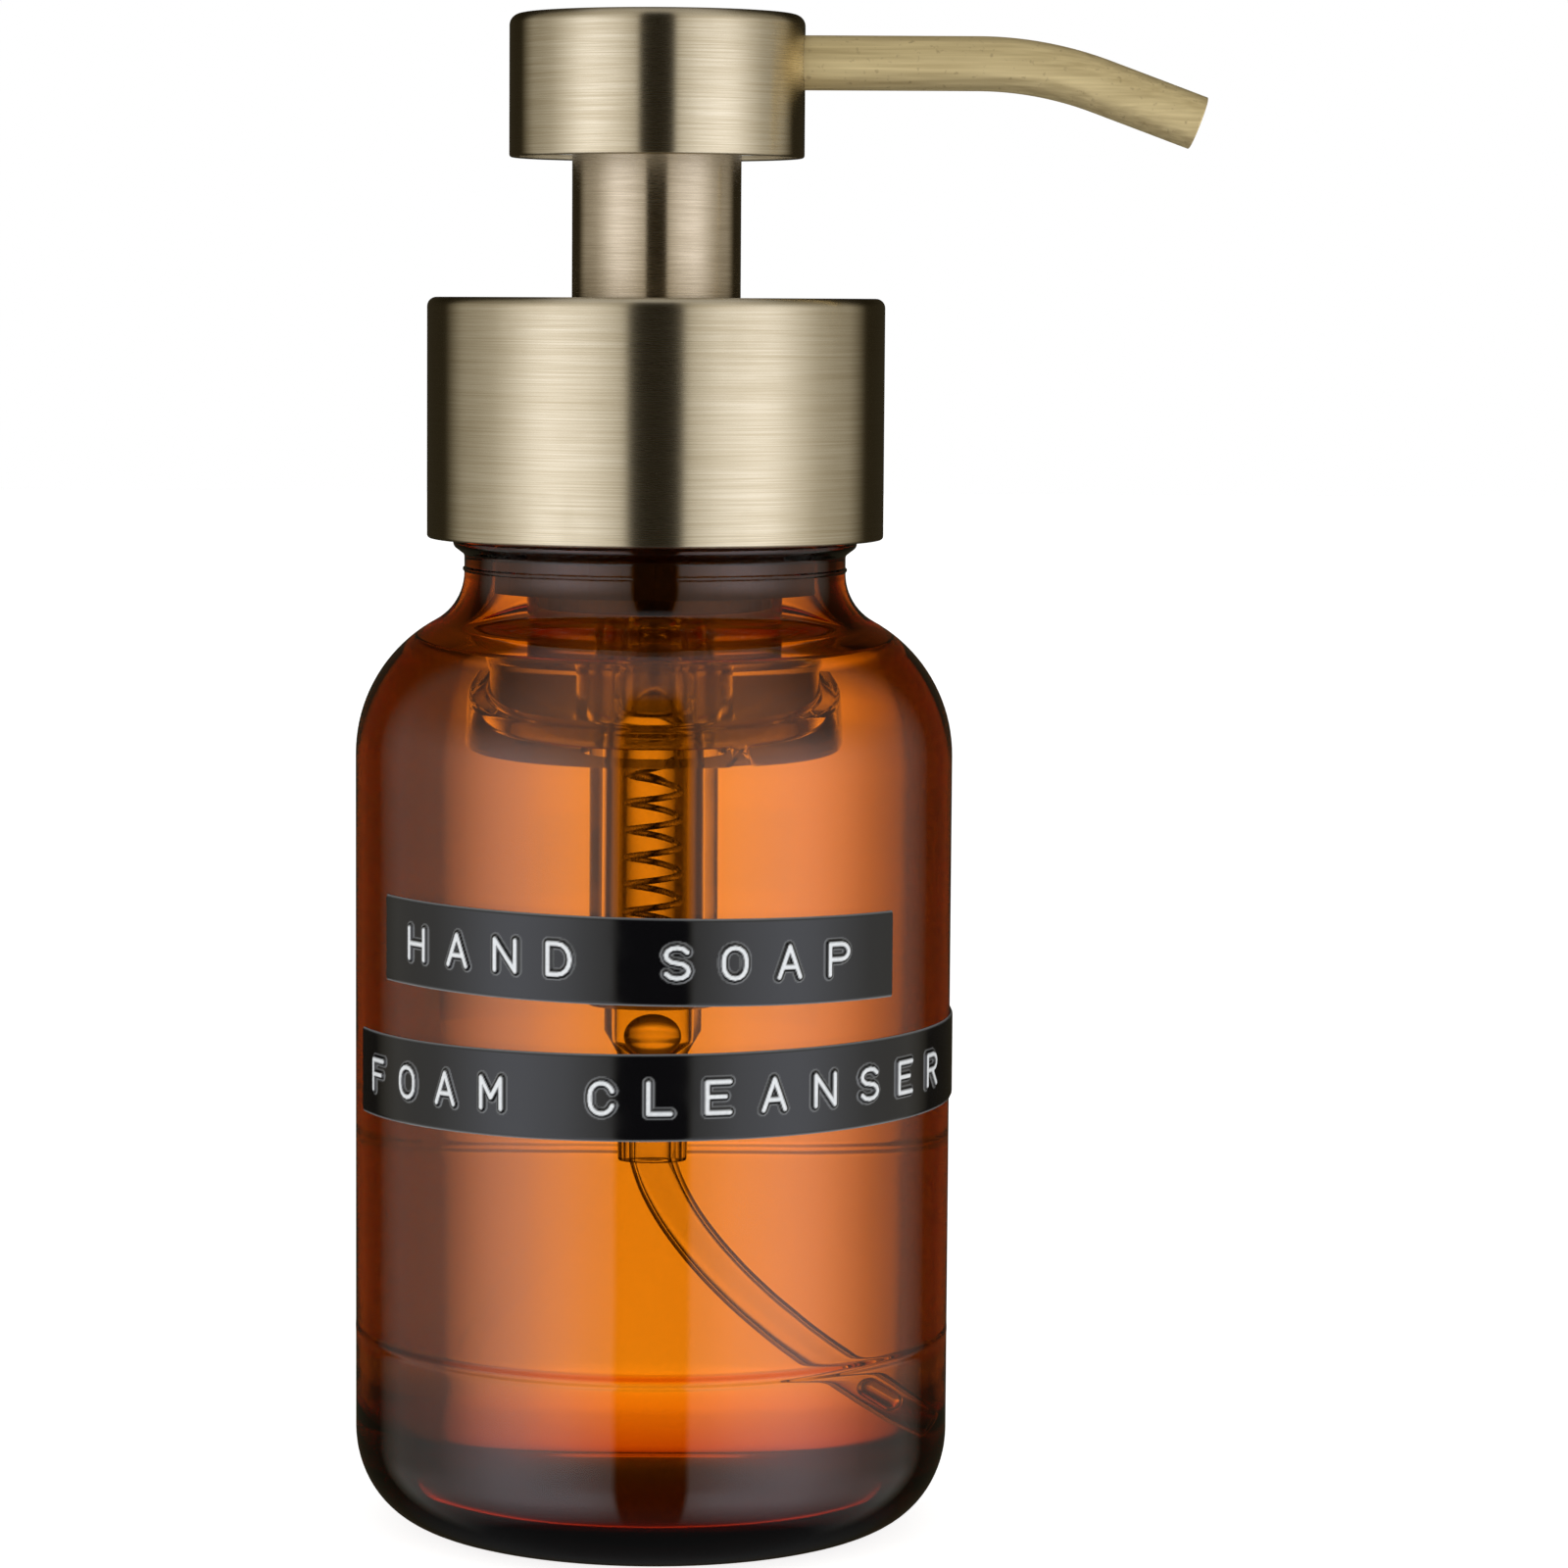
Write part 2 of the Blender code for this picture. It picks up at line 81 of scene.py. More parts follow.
# The glass bottle and the soap in it.
_, BOTTLE_TOP, BODY_R = size_of("bottle")
WALL = 3.0
HEEL_WIDTH = 8.5
HEEL_HEIGHT = 10.0
FLOOR_Z = 5.0
FLOOR_DOME = 2.0
FLOOR_RING_RADII = (5.0, 10.0, 15.0)
SHOULDER_Z = 83.0
SHOULDER_R = 16.2
NECK_FILLET = 6.0
NECK_R = 20.4
BEAD_R = 21.6  # the bead under the thread
BEAD_Z = 105.6
BEAD_ROUND = 0.7
SEAM_RISE = 0.16  # the thin mould seam at the neck's foot
BACK_LINE_Z = 37.4
FRONT_LINE_Z = 21.0
LINE_WIDTH = 0.45
LINE_RISE = 0.20
LIQUID_Z = 93.0
SOAP_IN_GLASS = 0.15

# The label tape. Ink and relief follow the distance from the middle line of a letter's stroke.
TAPE_WIDTH = 9.0
TAPE_INSIDE = 0.03
TAPE_OUTSIDE = 0.32
TAPE_GRID = 0.13
TAPE_EDGE_WIDTH = 0.3
TAPE_EDGE_TAPER = 0.45  # share of its thickness that the tape loses at its edge
LETTER_HEIGHT = 3.15
LETTER_WIDTH = 2.35
LETTER_PITCH_DEG = 10.6
WORD_GAP_DEG = 21.5
INK_SPAN = (0.14, 0.27)
EMBOSS_SPAN = (0.18, 0.58)
EMBOSS_HEIGHT = 0.26
HALO_MIDDLE = 0.56  # a faint pale line round each letter, where the tape bends back
HALO_SPAN = (0.04, 0.12)
HALO_INK = 0.16
# A painted highlight: a pale line along both edges of the tape, in place of the glint on its thinned edge.
EDGE_HIGHLIGHT_SPAN = (0.05, 0.2)
EDGE_HIGHLIGHT = 0.25

# The brass. The closure and the head are thin shells with a rounded lip at the bottom.
SHEET = 0.6
LIP_INSET = 0.15
CLOSURE_HOLE_R = 9.6
CLOSURE_PLATE = 0.8
CLOSURE_EDGE_R = 1.0
CLOSURE_LIP_R = 0.35
HEAD_EDGE_R = 1.2
HEAD_LIP_R = 0.3
HEAD_FLAT_INSET = 4.0
STEM_WALL = 0.7
SPOUT_R = 2.9
SPOUT_Z = 156.6
SPOUT_START_X = 6.5
SPOUT_BEND_X = 34.0
SPOUT_BEND_R = 38.0
SPOUT_BEND_DEG = 20.3
SPOUT_TIP_X = 57.5
SPOUT_HOLE_GAP = 0.08
SPOUT_EDGE = 0.12
LINER_START_X = 6.9
LINER_TRIM = 0.8
LINER_INSET = 0.9
LINER_WALL = 0.6

# The pump: a wide air cylinder above a narrow liquid one, then the inlet valve and the bent dip tube.
AIR_R = 13.7
AIR_WALL = 1.0
RIM_R = 15.3
RIM_HEIGHT = 3.0
CYLINDER_BOTTOM = 82.7
CYLINDER_FLOOR = 1.2
FLANGE = 1.5
NOTCH_DEG = 32.0
NOTCH_SIZE = 1.4
LIQUID_R = 5.2
LIQUID_BORE = 3.7
LIQUID_TOP = 97.0
SOCKET_HEIGHT = 1.4
SOCKET_RISE = 0.6
PISTON_WALL = 0.5
PISTON_BORE = 1.9
SKIRT_LOW = 3.4
SKIRT_HIGH = 4.4
VALVE_PORT_R = 1.3
VALVE_CHAMBER_R = 2.95
VALVE_OUTER_R = 3.95
VALVE_FLANGE = 1.0
VALVE_FOOT_R = 2.8
VALVE_FOOT_BORE = 2.2
VALVE_SEAT_GAP = 0.2  # between the cone of the seat and the ball at rest
DIP_R = 1.9
DIP_BORE = 1.4
DIP_STRAIGHT_Z = 44.0
DIP_BEND = ((0.0, 40.3), (1.6, 32.5), (8.8, 21.3), (24.5, 10.0))
DIP_STEPS = 48
BUBBLE_STEP = 42
BUBBLE_R = 1.05
BUBBLE_HALF = 1.3
WIRE_R = 0.35
COIL_R = 2.85
COIL_TURNS = 8.5
COIL_STEPS = 36


# ---------------------------------------------------------------- mesh helpers

def arc(centre, radius, start_deg, end_deg, steps, stretch=1.0):
    """Points of a circular arc in the (radius, height) plane, with its height scaled by stretch."""
    points = []
    for i in range(steps + 1):
        angle = math.radians(start_deg + (end_deg - start_deg) * i / steps)
        points.append((centre[0] + radius * math.cos(angle),
                       centre[1] + radius * stretch * math.sin(angle)))
    return points


def softened(profile, radius, steps=3):
    """Rounds each sharp corner of a closed profile with a small curve of about this radius."""
    made = []
    count = len(profile)
    for i, corner in enumerate(profile):
        before, after = Vector(profile[i - 1]), Vector(profile[(i + 1) % count])
        here = Vector(corner)
        back, ahead = before - here, after - here
        if back.length < 1e-6 or ahead.length < 1e-6 or back.angle(ahead) > math.radians(150):
            made.append(corner)
            continue
        start = here + back.normalized() * min(radius, 0.4 * back.length)
        end = here + ahead.normalized() * min(radius, 0.4 * ahead.length)
        for k in range(steps + 1):
            t = k / steps
            point = start * (1 - t) ** 2 + here * 2 * t * (1 - t) + end * t * t
            made.append((point.x, point.y))
    return made


def add_to_scene(name, data):
    obj = bpy.data.objects.new(name, data)
    bpy.context.scene.collection.objects.link(obj)
    return obj


def smooth_object(name, mesh, sharp_deg):
    """A smooth-shaded object that keeps its hard edges sharp."""
    mesh.shade_smooth()
    mesh.set_sharp_from_angle(angle=math.radians(sharp_deg))
    return add_to_scene(name, mesh)


def new_object(name, points, faces):
    """An object from points in millimetres."""
    mesh = bpy.data.meshes.new(name)
    mesh.from_pydata([tuple(c * MM for c in p) for p in points], [], faces)
    shape = bmesh.new()
    shape.from_mesh(mesh)
    bmesh.ops.remove_doubles(shape, verts=shape.verts, dist=1e-7)
    shape.to_mesh(mesh)
    shape.free()
    return smooth_object(name, mesh, 40)


def turned(name, profile, steps=144, ring=True):
    """Spins a (radius, height) profile about Z. It runs down the outer side first.

    A ring closes on itself; any other profile starts and ends on the axis.
    """
    count = len(profile)
    points = []
    for i in range(steps):
        angle = 2 * math.pi * i / steps
        points += [(r * math.cos(angle), r * math.sin(angle), z) for r, z in profile]
    faces = []
    for i in range(steps):
        here, there = i * count, ((i + 1) % steps) * count
        for k in range(count if ring else count - 1):
            after = (k + 1) % count
            corners = [here + k, here + after, there + after, there + k]
            if profile[k][0] == 0.0:
                corners = corners[:3]
            elif profile[after][0] == 0.0:
                corners = [corners[0], corners[1], corners[3]]
            if profile[k][0] > 0.0 or profile[after][0] > 0.0:
                faces.append(corners)
    return new_object(name, points, faces)


def swept(name, path, radius, sides=32, inner=None):
    """A round bar along a path, or a pipe if an inner radius is given."""
    path = [Vector(p) for p in path]
    rings = []
    side = Vector((0, 1, 0))
    for i, spot in enumerate(path):
        ahead = path[min(i + 1, len(path) - 1)] - path[max(i - 1, 0)]
        ahead.normalize()
        side = (side - ahead * side.dot(ahead)).normalized()
        up = ahead.cross(side)
        rings.append((spot, side.copy(), up))
    points, faces = [], []

    def add_skin(skin_r, outward):
        start = len(points)
        for spot, side_dir, up in rings:
            for k in range(sides):
                angle = 2 * math.pi * k / sides
                points.append(spot + (side_dir * math.cos(angle) + up * math.sin(angle)) * skin_r)
        for i in range(len(rings) - 1):
            for k in range(sides):
                low, high = start + i * sides, start + (i + 1) * sides
                quad = [low + k, low + (k + 1) % sides, high + (k + 1) % sides, high + k]
                faces.append(quad if outward else quad[::-1])
        return start

    outside = add_skin(radius, True)
    last = (len(rings) - 1) * sides
    if inner is None:
        faces.append([outside + k for k in range(sides)][::-1])
        faces.append([outside + last + k for k in range(sides)])
    else:
        inside = add_skin(inner, False)
        for k in range(sides):
            after = (k + 1) % sides
            faces.append([outside + after, outside + k, inside + k, inside + after])
            faces.append([outside + last + k, outside + last + after,
                          inside + last + after, inside + last + k])
    return new_object(name, points, faces)


def cut_with(obj, cutter):
    """Takes the cutter's shape out of the piece for good."""
    cut = obj.modifiers.new("cut", "BOOLEAN")
    cut.operation = "DIFFERENCE"
    cut.object = cutter
    bpy.context.view_layer.update()
    graph = bpy.context.evaluated_depsgraph_get()
    mesh = bpy.data.meshes.new_from_object(obj.evaluated_get(graph))
    obj.modifiers.clear()
    obj.data = mesh
    bpy.data.objects.remove(cutter)


def place(obj, material, body, slot, *nodes):
    """Finishes a piece: its material, the body it rides on and the CAD nodes it stands for. Its slot is not
    used.
    """
    obj.data.materials.append(material)
    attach(obj, body)
    if nodes:
        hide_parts(*nodes)
    return obj


# ---------------------------------------------------------------- materials

def new_material(name, colour, roughness, metallic=0.0):
    material = bpy.data.materials.new(name)
    material.use_nodes = True
    shader = material.node_tree.nodes["Principled BSDF"]
    shader.inputs["Base Color"].default_value = (*colour, 1.0)
    shader.inputs["Roughness"].default_value = roughness
    shader.inputs["Metallic"].default_value = metallic
    return material, material.node_tree, shader


def math_node(tree, operation, a, b=None):
    node = tree.nodes.new("ShaderNodeMath")
    node.operation = operation
    for socket, value in zip(node.inputs, (a, b)):
        if value is None:
            continue
        if isinstance(value, (int, float)):
            socket.default_value = value
        else:
            tree.links.new(value, socket)
    return node.outputs[0]


def noise_node(tree, vector, scale, detail=3.0, roughness=0.5):
    node = tree.nodes.new("ShaderNodeTexNoise")
    node.inputs["Scale"].default_value = scale
    node.inputs["Detail"].default_value = detail
    node.inputs["Roughness"].default_value = roughness
    tree.links.new(vector, node.inputs["Vector"])
    return node.outputs["Fac"]


def range_node(tree, value, low, high, out_low, out_high):
    node = tree.nodes.new("ShaderNodeMapRange")
    tree.links.new(value, node.inputs["Value"])
    for socket, number in zip(("From Min", "From Max", "To Min", "To Max"), (low, high, out_low, out_high)):
        node.inputs[socket].default_value = number
    return node.outputs["Result"]


def from_noise(tree, noise, at_low, at_high):
    """Stretches the middle of a noise, where nearly all of it lies, over a range of values."""
    return range_node(tree, noise, 0.3, 0.7, at_low, at_high)


def stretched(tree, scale):
    """Object coordinates, scaled by a different amount along each axis."""
    node = tree.nodes.new("ShaderNodeMapping")
    node.inputs["Scale"].default_value = scale
    tree.links.new(object_vector(tree), node.inputs["Vector"])
    return node.outputs[0]


def mix_colours(tree, factor, first, second):
    node = tree.nodes.new("ShaderNodeMix")
    node.data_type = "RGBA"
    tree.links.new(factor, node.inputs[0])
    for socket, value in ((node.inputs[6], first), (node.inputs[7], second)):
        if isinstance(value, tuple):
            socket.default_value = (*value, 1.0)
        else:
            tree.links.new(value, socket)
    return node.outputs[2]


def add_bump(tree, shader, height, strength, distance):
    node = tree.nodes.new("ShaderNodeBump")
    node.inputs["Strength"].default_value = strength
    node.inputs["Distance"].default_value = distance
    tree.links.new(height, node.inputs["Height"])
    tree.links.new(node.outputs["Normal"], shader.inputs["Normal"])


def object_vector(tree):
    return tree.nodes.new("ShaderNodeTexCoord").outputs["Object"]


def around_axis(tree, vector, turns_scale, line_scale):
    """Coordinates that run slowly round the Z axis and quickly along it, for lathe brushing."""
    parts = tree.nodes.new("ShaderNodeSeparateXYZ")
    tree.links.new(vector, parts.inputs[0])
    x, y, z = parts.outputs
    angle = math_node(tree, "ARCTAN2", x, math_node(tree, "MULTIPLY", y, -1.0))
    reach = math_node(tree, "SQRT", math_node(tree, "ADD", math_node(tree, "MULTIPLY", x, x),
                                              math_node(tree, "MULTIPLY", y, y)))
    along = math_node(tree, "ADD", z, reach)
    joined = tree.nodes.new("ShaderNodeCombineXYZ")
    tree.links.new(math_node(tree, "MULTIPLY", angle, turns_scale), joined.inputs[0])
    tree.links.new(math_node(tree, "MULTIPLY", along, line_scale), joined.inputs[1])
    return joined.outputs[0]


def brushed_brass(name, pale, deep):
    """Antique brass, brushed round on a lathe: fine rings that spread its highlights up and down."""
    material, tree, shader = new_material(name, pale, 0.28, 1.0)
    where = object_vector(tree)
    fine = noise_node(tree, around_axis(tree, where, 1.6, 7000.0), scale=1.0, detail=2.0)
    broad = noise_node(tree, around_axis(tree, where, 0.8, 2000.0), scale=1.0, detail=3.0)
    lines = math_node(tree, "ADD", math_node(tree, "MULTIPLY", fine, 0.7),
                      math_node(tree, "MULTIPLY", broad, 0.3))
    patches = noise_node(tree, where, scale=120.0, detail=4.0)
    tone = mix_colours(tree, from_noise(tree, lines, 0.0, 1.0), deep, pale)
    worn = tuple(c * 0.86 for c in deep)
    tone = mix_colours(tree, range_node(tree, patches, 0.55, 0.75, 0.0, 0.35), tone, worn)
    tree.links.new(tone, shader.inputs["Base Color"])
    tree.links.new(from_noise(tree, lines, 0.31, 0.23), shader.inputs["Roughness"])
    shader.inputs["Anisotropic"].default_value = 0.97
    shader.inputs["Anisotropic Rotation"].default_value = 0.25
    tangent = tree.nodes.new("ShaderNodeTangent")
    tangent.direction_type = "RADIAL"
    tangent.axis = "Z"
    tree.links.new(tangent.outputs[0], shader.inputs["Tangent"])
    add_bump(tree, shader, lines, strength=0.35, distance=0.00002)
    return material


def satin_brass(name):
    """The spout's softer, yellower brass, with faint streaks along the tube and small darker specks."""
    material, tree, shader = new_material(name, (0.84, 0.67, 0.37), 0.60, 0.85)
    streaks = noise_node(tree, stretched(tree, (90.0, 2600.0, 2600.0)), scale=1.0, detail=3.0)
    specks = noise_node(tree, object_vector(tree), scale=1400.0, detail=2.0)
    deep, pale, speck = (0.72, 0.57, 0.29), (0.90, 0.75, 0.42), (0.48, 0.34, 0.17)
    tone = mix_colours(tree, from_noise(tree, streaks, 0.0, 1.0), deep, pale)
    tone = mix_colours(tree, range_node(tree, specks, 0.62, 0.74, 0.0, 0.5), tone, speck)
    tree.links.new(tone, shader.inputs["Base Color"])
    tree.links.new(from_noise(tree, streaks, 0.52, 0.64), shader.inputs["Roughness"])
    add_bump(tree, shader, streaks, strength=0.25, distance=0.00002)
    return material


def clear_solid(name, ior, roughness, colour=(1.0, 1.0, 1.0), absorb=None, density=0.0, wave=0.0):
    """A see-through solid. Its depth colour comes from a volume, and wave adds a faint moulded ripple."""
    material, tree, shader = new_material(name, colour, roughness)
    shader.inputs["Transmission Weight"].default_value = 1.0
    shader.inputs["IOR"].default_value = ior
    if absorb:
        volume = tree.nodes.new("ShaderNodeVolumeAbsorption")
        volume.inputs["Color"].default_value = (*absorb, 1.0)
        volume.inputs["Density"].default_value = density
        output = tree.nodes["Material Output"]
        tree.links.new(volume.outputs[0], output.inputs["Volume"])
    if wave:
        ripple = noise_node(tree, stretched(tree, (70.0, 70.0, 35.0)), scale=1.0, detail=2.0)
        add_bump(tree, shader, ripple, strength=wave, distance=0.001)
    return material


def moulded_plastic(name, colour, roughness):
    """Opaque moulded plastic with a fine grain and a slightly uneven gloss."""
    material, tree, shader = new_material(name, colour, roughness)
    where = object_vector(tree)
    grain = noise_node(tree, where, scale=2500.0, detail=2.0)
    cloud = noise_node(tree, where, scale=150.0, detail=3.0)
    darker = tuple(c * 0.88 for c in colour)
    tone = mix_colours(tree, range_node(tree, cloud, 0.35, 0.65, 0.0, 1.0), darker, colour)
    tree.links.new(tone, shader.inputs["Base Color"])
    tree.links.new(from_noise(tree, cloud, roughness - 0.05, roughness + 0.08), shader.inputs["Roughness"])
    add_bump(tree, shader, grain, strength=0.2, distance=0.00003)
    return material


def spring_wire(name):
    material, tree, shader = new_material(name, (0.50, 0.48, 0.46), 0.25, 1.0)
    drawn = noise_node(tree, object_vector(tree), scale=1800.0, detail=3.0)
    tree.links.new(from_noise(tree, drawn, 0.18, 0.34), shader.inputs["Roughness"])
    return material


def tape_plastic(name):
    """Glossy black tape. The stretch of each embossed letter turns it white, through the ink attribute; the
    same attribute also paints a highlight along the tape's edges.
    """
    black = (0.003, 0.003, 0.004)
    material, tree, shader = new_material(name, black, 0.16)
    ink = tree.nodes.new("ShaderNodeAttribute")
    ink.attribute_name = "ink"
    ink.attribute_type = "GEOMETRY"
    where = object_vector(tree)
    stress = noise_node(tree, where, scale=2600.0, detail=2.0)
    white = mix_colours(tree, stress, (0.72, 0.76, 0.80), (0.95, 0.97, 1.0))
    tone = mix_colours(tree, ink.outputs["Fac"], black, white)
    tree.links.new(tone, shader.inputs["Base Color"])
    smears = noise_node(tree, where, scale=260.0, detail=3.0)
    tree.links.new(range_node(tree, smears, 0.35, 0.7, 0.06, 0.13), shader.inputs["Roughness"])
    return material


BRASS = brushed_brass("brushed_brass", (0.66, 0.58, 0.435), (0.52, 0.43, 0.28))
STEM_BRASS = brushed_brass("stem_brass", (0.62, 0.52, 0.385), (0.50, 0.41, 0.285))
SPOUT_BRASS = satin_brass("spout_brass")
AMBER = clear_solid("amber_glass", 1.5, 0.0, absorb=(0.903, 0.680, 0.02), density=1000.0, wave=0.05)
SOAP = clear_solid("clear_soap", 1.33, 0.0, absorb=(0.96, 0.95, 0.90), density=20.0)
SOAP_SKIN = clear_solid("soap_round_bubble", 1.33, 0.0)
# Clear plastic bends light less where soap touches it than where air does.
WET = clear_solid("clear_plastic_in_soap", 1.12, 0.06, (0.93, 0.93, 0.92))
DRY = clear_solid("clear_plastic_in_air", 1.49, 0.06, (0.93, 0.93, 0.92))
MISTY = clear_solid("clear_plastic_round_foam", 1.20, 0.08, (0.97, 0.97, 0.96))
WHITE = moulded_plastic("white_plastic", (0.80, 0.80, 0.77), 0.38)
BLACK = moulded_plastic("closure_plastic", (0.035, 0.028, 0.024), 0.40)
RUBBER = moulded_plastic("seal_rubber", (0.03, 0.03, 0.03), 0.55)
STEEL = spring_wire("spring_steel")
GLASS_BALL = clear_solid("valve_ball_glass", 1.18, 0.0)
TAPE = tape_plastic("label_tape")


# ---------------------------------------------------------------- bottle and soap

def shoulder():
    """Centres of the shoulder's two arcs and the angle where they meet."""
    convex = (BODY_R - SHOULDER_R, SHOULDER_Z)
    rise = math.acos((NECK_R + NECK_FILLET - convex[0]) / (SHOULDER_R + NECK_FILLET))
    concave = (NECK_R + NECK_FILLET, SHOULDER_Z + (SHOULDER_R + NECK_FILLET) * math.sin(rise))
    return convex, concave, math.degrees(rise)


def inner_outline(swell=0.0):
    """The inside of the bottle from the middle of its floor up to the neck, swollen into the glass."""
    convex, concave, lean = shoulder()
    heel = (BODY_R - WALL - HEEL_WIDTH + 0.5, FLOOR_Z + HEEL_HEIGHT - 1.0)
    heel_r = BODY_R - WALL - heel[0] + swell
    stretch = (heel[1] - FLOOR_Z + swell) / heel_r
    points = [(0.0, FLOOR_Z + FLOOR_DOME - swell)]
    for r in FLOOR_RING_RADII:
        points.append((r, FLOOR_Z + FLOOR_DOME * math.cos(math.pi / 2 * r / heel[0]) ** 2 - swell))
    points += arc(heel, heel_r, -90, 0, 14, stretch)
    points += arc(convex, SHOULDER_R - WALL + swell, 0, lean, 14)
    points += arc(concave, NECK_FILLET + WALL - swell, 180 + lean, 180, 8)[1:]
    points.append((NECK_R - WALL + swell, BOTTLE_TOP))
    return points


def bottle():
    convex, concave, lean = shoulder()
    profile = [(NECK_R - 0.5, BOTTLE_TOP), (NECK_R, BOTTLE_TOP - 0.5), (NECK_R, BEAD_Z + 1.1)]
    profile += arc((BEAD_R - BEAD_ROUND, BEAD_Z), BEAD_ROUND, 60, -60, 8)
    profile += arc((NECK_R + 0.5, BEAD_Z - 1.5), 0.5, 120, 180, 4)
    seam = concave[1] + 0.1
    profile += [(NECK_R, seam + 0.45), (NECK_R + SEAM_RISE, seam + 0.3), (NECK_R + SEAM_RISE, seam + 0.1)]
    profile += arc(concave, NECK_FILLET, 180, 180 + lean, 12)
    profile += arc(convex, SHOULDER_R, lean, 0, 20)[1:]
    # Extra rings of points, close together, for raise_mould_lines to lift.
    for line in (BACK_LINE_Z, FRONT_LINE_Z):
        profile += [(BODY_R, line + LINE_WIDTH * (3 - k / 2)) for k in range(13)]
    profile += arc((BODY_R - HEEL_WIDTH, HEEL_HEIGHT), HEEL_WIDTH, 0, -90, 20, HEEL_HEIGHT / HEEL_WIDTH)
    profile += [(0.0, 0.0)] + inner_outline()
    glass = turned("bottle_glass", profile, 192)
    raise_mould_lines(glass)
    place(glass, AMBER, "bottle", "amber_glass", "bottle")


def raise_mould_lines(glass):
    """Two faint mould lines: one round the back of the wall and, lower down, one round its front."""
    for vertex in glass.data.vertices:
        x, y, z = vertex.co / MM
        reach = math.hypot(x, y)
        if abs(reach - BODY_R) > 0.01:
            continue
        facing = -y / reach
        lift = 0.0
        for side, line in ((facing, FRONT_LINE_Z), (-facing, BACK_LINE_Z)):
            lift += LINE_RISE * min(max(2 * side, 0), 1) * math.exp(-((z - line) / LINE_WIDTH) ** 2)
        vertex.co.x *= 1 + lift / reach
        vertex.co.y *= 1 + lift / reach


def soap():
    """The liquid reaches a little into the glass, so that no air shows between them."""
    outline = [p for p in inner_outline(SOAP_IN_GLASS) if p[1] < LIQUID_Z]
    edge_r = outline[-1][0] - 0.4
    profile = [(0.0, LIQUID_Z), (edge_r - 2.5, LIQUID_Z)]
    profile += [(edge_r - 1.0, LIQUID_Z + 0.25), (edge_r, LIQUID_Z + 0.9)]  # it creeps up at the glass
    profile += outline[::-1]
    liquid = turned("soap_liquid", profile, 144, ring=False)
    place(liquid, SOAP, "bottle", "clear_plastic")


# ---------------------------------------------------------------- embossed label tape

def bow(cx, cy, rx, ry, start_deg, end_deg, steps=8):
    """The curved part of a letter."""
    angles = [math.radians(start_deg + (end_deg - start_deg) * i / steps) for i in range(steps + 1)]
    return [(cx + rx * math.cos(angle), cy + ry * math.sin(angle)) for angle in angles]


def letter_strokes():
    """Plain embosser capitals, as strokes in a box one unit wide and one unit tall."""
    bowl = [(0, 1), (0.6, 1)] + bow(0.6, 0.75, 0.4, 0.25, 90, -90) + [(0, 0.5)]
    return {
        "A": [[(0, 0), (0.5, 1), (1, 0)], [(0.2, 0.33), (0.8, 0.33)]],
        "C": [bow(0.5, 0.6, 0.5, 0.4, 20, 180) + bow(0.5, 0.4, 0.5, 0.4, 180, 340)],
        "D": [[(0, 0), (0, 1), (0.45, 1)] + bow(0.45, 0.5, 0.55, 0.5, 90, -90) + [(0, 0)]],
        "E": [[(1, 1), (0, 1), (0, 0), (1, 0)], [(0, 0.52), (0.8, 0.52)]],
        "F": [[(1, 1), (0, 1), (0, 0)], [(0, 0.52), (0.8, 0.52)]],
        "H": [[(0, 0), (0, 1)], [(1, 0), (1, 1)], [(0, 0.5), (1, 0.5)]],
        "L": [[(0, 1), (0, 0), (0.95, 0)]],
        "M": [[(0, 0), (0, 1), (0.5, 0.35), (1, 1), (1, 0)]],
        "N": [[(0, 0), (0, 1), (1, 0), (1, 1)]],
        "O": [bow(0.5, 0.6, 0.5, 0.4, 0, 180) + bow(0.5, 0.4, 0.5, 0.4, 180, 360) + [(1, 0.6)]],
        "P": [[(0, 0)] + bowl],
        "R": [[(0, 0)] + bowl, [(0.5, 0.5), (1, 0)]],
        "S": [bow(0.5, 0.75, 0.48, 0.25, 25, 270) + bow(0.5, 0.25, 0.5, 0.25, 90, -155)],
    }


def text_segments(words, first_deg):
    """Every straight piece of the lettering, as (start, end) in (arc length, height) on the tape."""
    strokes = letter_strokes()
    segments = []
    angle = first_deg
    for word in words:
        for letter in word:
            middle = math.radians(angle) * BODY_R
            for stroke in strokes[letter]:
                spots = [(middle + (x - 0.5) * LETTER_WIDTH, (y - 0.5) * LETTER_HEIGHT) for x, y in stroke]
                segments += list(zip(spots[:-1], spots[1:]))
            angle += LETTER_PITCH_DEG
        angle += WORD_GAP_DEG - LETTER_PITCH_DEG
    return segments


def distance_to(segments, along, up):
    """Distance of every grid point to the nearest stroke."""
    nearest = np.full(along.shape, 99.0)
    for (x0, y0), (x1, y1) in segments:
        dx, dy = x1 - x0, y1 - y0
        length = max(dx * dx + dy * dy, 1e-9)
        t = np.clip(((along - x0) * dx + (up - y0) * dy) / length, 0, 1)
        nearest = np.minimum(nearest, np.hypot(along - x0 - t * dx, up - y0 - t * dy))
    return nearest


def smooth_step(value, low, high):
    t = np.clip((value - low) / (high - low), 0, 1)
    return t * t * (3 - 2 * t)


